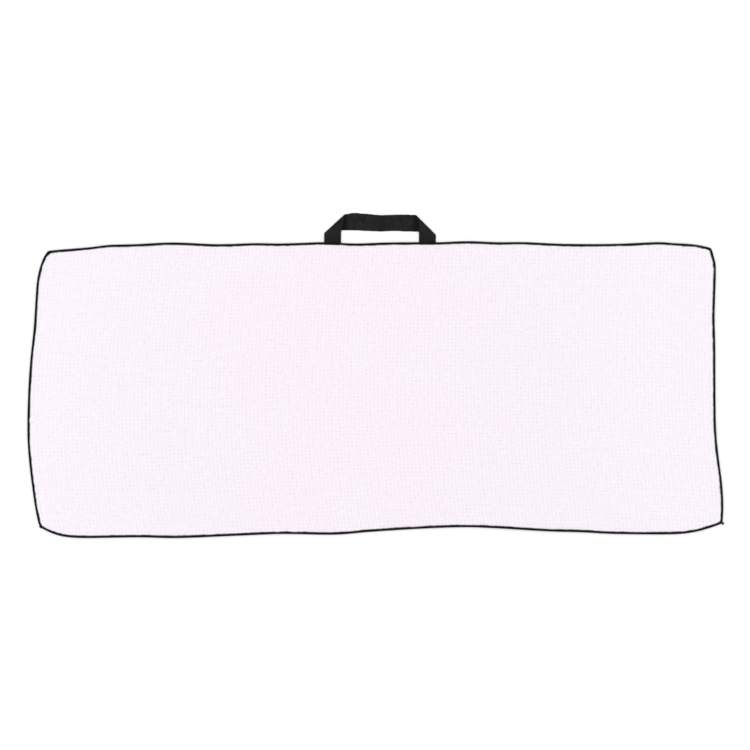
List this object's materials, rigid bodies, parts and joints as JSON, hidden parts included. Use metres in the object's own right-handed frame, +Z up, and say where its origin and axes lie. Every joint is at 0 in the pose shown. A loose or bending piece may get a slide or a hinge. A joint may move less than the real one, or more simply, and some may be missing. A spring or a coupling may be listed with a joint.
{
  "type": "golf towel",
  "caption": "Long rectangular waffle-weave towel with a black overlocked edge and a mitred webbing hang loop on one long side, laid flat; the wings fold in and the loop flops over.",
  "frame": {"origin": "centre of the whole footprint, hang loop included, at the surface that the towel lies on", "axes": "+X along the long sides, +Y towards the long side that carries the hang loop, +Z up out of the front face"},
  "size_m": [1.0315, 0.4806, 0.0037],
  "materials": {
    "cloth": "soft matt waffle weave with a faint sheen",
    "thread": "matt spun polyester thread",
    "webbing": "matt flat-woven webbing with a slight sheen"
  },
  "bodies": {
    "centre_panel": {"cloth_centre": "cloth", "upper_looper_top": "thread", "upper_looper_bottom": "thread", "lower_looper_top": "thread", "lower_looper_bottom": "thread", "needle_thread_top": "thread", "needle_thread_bottom": "thread", "strap_tail_left": "webbing", "strap_tail_right": "webbing", "bar_tack_left": "thread", "bar_tack_right": "thread"},
    "left_panel": {"cloth_left": "cloth", "upper_looper_left": "thread", "lower_looper_left": "thread", "needle_thread_left": "thread", "thread_knot_left": "thread"},
    "right_panel": {"cloth_right": "cloth", "upper_looper_right": "thread", "lower_looper_right": "thread", "needle_thread_right": "thread", "thread_knot_right": "thread"},
    "hanging_loop": {"strap_leg_left": "webbing", "strap_leg_right": "webbing", "strap_bar": "webbing"}
  },
  "joints": [
    {"name": "left_fold", "type": "hinge", "parent": "centre_panel", "child": "left_panel", "pos_m": [-0.172, 0, 0.0053], "axis": [0, 1, 0], "range_deg": [0, 179.9]},
    {"name": "right_fold", "type": "hinge", "parent": "centre_panel", "child": "right_panel", "pos_m": [0.176, 0, 0.0073], "axis": [0, -1, 0], "range_deg": [0, 179.9]},
    {"name": "loop_flop", "type": "hinge", "parent": "centre_panel", "child": "hanging_loop", "pos_m": [0.0069, 0.1994, 0.0036], "axis": [1, 0, 0], "range_deg": [0, 179.9]}
  ]
}
